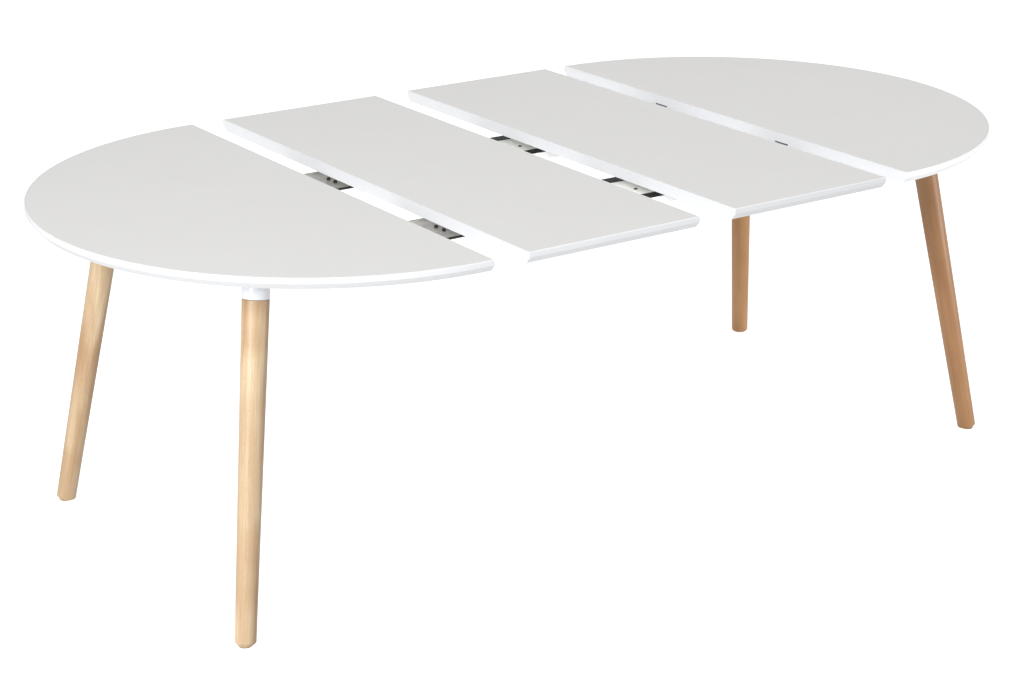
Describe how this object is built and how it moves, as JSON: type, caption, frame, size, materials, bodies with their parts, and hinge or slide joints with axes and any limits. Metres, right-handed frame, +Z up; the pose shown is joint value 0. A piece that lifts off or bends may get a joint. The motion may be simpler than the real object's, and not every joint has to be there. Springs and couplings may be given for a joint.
{
  "type": "extendable dining table",
  "caption": "Round dining table pulled open, with loose leaves on guide runners between its half-round tops and splayed tapered wooden legs.",
  "frame": {"origin": "on the floor, under the middle of the open table", "axes": "+X along the length, towards the half that carries the catches; +Y across the table; +Z up"},
  "size_m": [2.225, 1.2, 0.73],
  "materials": {
    "white_lacquer": "satin white lacquer on board",
    "grey_laminate": "matt light grey laminate",
    "beech": "clear matt oil on beech",
    "white_ferrule": "white powder coat",
    "zinc_steel": "zinc plated",
    "pale_steel": "pale grey powder coat",
    "black_steel": "black powder coat",
    "black_nylon": "moulded nylon",
    "bright_fasteners": "bright zinc",
    "beige_felt": "pressed felt pad"
  },
  "bodies": {
    "guide_runners": {"near_outer_guide_rail": "pale_steel", "near_inner_guide_rail": "pale_steel", "near_outer_wear_strip": "black_nylon", "near_inner_wear_strip": "black_nylon", "near_centre_plate": "pale_steel", "far_outer_guide_rail": "pale_steel", "far_inner_guide_rail": "pale_steel", "far_outer_wear_strip": "black_nylon", "far_inner_wear_strip": "black_nylon", "far_centre_plate": "pale_steel", "left_tie_bar": "pale_steel", "right_tie_bar": "pale_steel"},
    "left_half": {"left_top_core": "white_lacquer", "left_top_laminate": "grey_laminate", "left_cross_rail": "white_lacquer", "left_near_slide": "zinc_steel", "left_near_spacer": "white_lacquer", "left_near_leg_block": "white_lacquer", "left_near_leg_bolt": "bright_fasteners", "left_near_ferrule": "white_ferrule", "left_near_leg": "beech", "left_near_foot_glide": "beige_felt", "left_far_slide": "zinc_steel", "left_far_spacer": "white_lacquer", "left_far_leg_block": "white_lacquer", "left_far_leg_bolt": "bright_fasteners", "left_far_ferrule": "white_ferrule", "left_far_leg": "beech", "left_far_foot_glide": "beige_felt"},
    "right_half": {"right_top_core": "white_lacquer", "right_top_laminate": "grey_laminate", "right_cross_rail": "white_lacquer", "right_near_slide": "zinc_steel", "right_near_spacer": "white_lacquer", "right_near_leg_block": "white_lacquer", "right_near_leg_bolt": "bright_fasteners", "right_near_ferrule": "white_ferrule", "right_near_leg": "beech", "right_near_foot_glide": "beige_felt", "right_far_slide": "zinc_steel", "right_far_spacer": "white_lacquer", "right_far_leg_block": "white_lacquer", "right_far_leg_bolt": "bright_fasteners", "right_far_ferrule": "white_ferrule", "right_far_leg": "beech", "right_far_foot_glide": "beige_felt"},
    "leaf_1_saddles": {"leaf_1_near_saddle": "black_nylon", "leaf_1_far_saddle": "black_nylon"},
    "leaf_1": {"leaf_1_core": "white_lacquer", "leaf_1_laminate": "grey_laminate", "leaf_1_near_batten": "white_lacquer", "leaf_1_far_batten": "white_lacquer"},
    "leaf_2_saddles": {"leaf_2_near_saddle": "black_nylon", "leaf_2_far_saddle": "black_nylon"},
    "leaf_2": {"leaf_2_core": "white_lacquer", "leaf_2_laminate": "grey_laminate", "leaf_2_near_batten": "white_lacquer", "leaf_2_far_batten": "white_lacquer"},
    "near_catch": {"near_catch": "black_steel"},
    "far_catch": {"far_catch": "black_steel"}
  },
  "joints": [
    {"name": "left_extension", "type": "slide", "parent": "guide_runners", "child": "left_half", "axis": [1, 0, 0], "range_m": [0, 0.11205]},
    {"name": "right_extension", "type": "slide", "parent": "guide_runners", "child": "right_half", "axis": [-1, 0, 0], "range_m": [0, 0.11205]},
    {"name": "leaf_1_travel", "type": "slide", "parent": "guide_runners", "child": "leaf_1_saddles", "axis": [1, 0, 0], "range_m": [0, 0.03536]},
    {"name": "leaf_2_travel", "type": "slide", "parent": "guide_runners", "child": "leaf_2_saddles", "axis": [-1, 0, 0], "range_m": [0, 0.05336]},
    {"name": "leaf_1_lift", "type": "slide", "parent": "leaf_1_saddles", "child": "leaf_1", "axis": [0, 0, 1], "range_m": [0, 0.12]},
    {"name": "leaf_2_lift", "type": "slide", "parent": "leaf_2_saddles", "child": "leaf_2", "axis": [0, 0, 1], "range_m": [0, 0.12]},
    {"name": "near_catch_slide", "type": "slide", "parent": "right_half", "child": "near_catch", "axis": [-1, 0, 0], "range_m": [0, 0.018]},
    {"name": "far_catch_slide", "type": "slide", "parent": "right_half", "child": "far_catch", "axis": [-1, 0, 0], "range_m": [0, 0.018]}
  ],
  "couplings": [
    {"joint": "leaf_1_travel", "follows": "left_extension", "ratio": 0.31548},
    {"joint": "leaf_2_travel", "follows": "right_extension", "ratio": 0.47613}
  ]
}
